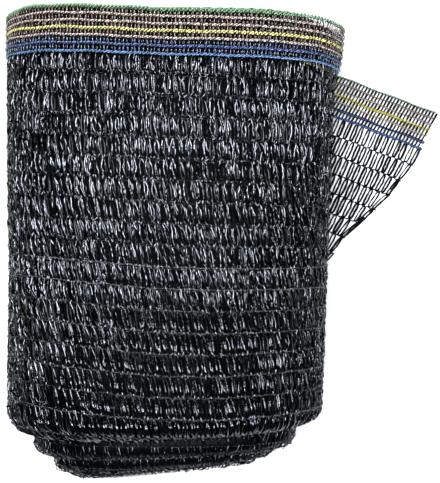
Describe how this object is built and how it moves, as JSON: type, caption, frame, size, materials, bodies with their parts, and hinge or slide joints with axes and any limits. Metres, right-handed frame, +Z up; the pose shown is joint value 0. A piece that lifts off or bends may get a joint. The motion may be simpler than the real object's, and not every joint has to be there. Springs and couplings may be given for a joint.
{
  "type": "rolled shade cloth",
  "caption": "Black knitted mesh shade cloth, folded and wound into a soft flattened roll, with a striped coloured selvedge and one loose see-through cut end.",
  "frame": {"origin": "middle of the flat spot under the roll, on the surface that it lies on", "axes": "+X across the roll to the side of the loose end, +Y along the roll to its coloured edge, +Z up from the surface"},
  "size_m": [0.2951, 0.3035, 0.0952],
  "materials": {
    "knit_black": "knitted from glossy black plastic tape",
    "edge_green": "chain-knitted green plastic yarn",
    "edge_brown": "chain-knitted brown plastic yarn",
    "edge_yellow": "chain-knitted yellow plastic yarn",
    "edge_blue": "chain-knitted blue plastic yarn"
  },
  "bodies": {
    "root": {"roll": "knit_black", "roll_edge_green": "edge_green", "roll_edge_brown_outer": "edge_brown", "roll_edge_brown_middle": "edge_brown", "roll_edge_yellow": "edge_yellow", "roll_edge_brown_inner": "edge_brown", "roll_edge_blue_dark": "edge_blue", "roll_edge_blue_light": "edge_blue", "loose_end": "knit_black", "loose_edge_green": "edge_green", "loose_edge_brown_outer": "edge_brown", "loose_edge_brown_middle": "edge_brown", "loose_edge_yellow": "edge_yellow", "loose_edge_brown_inner": "edge_brown", "loose_edge_blue_dark": "edge_blue", "loose_edge_blue_light": "edge_blue"}
  },
  "joints": []
}
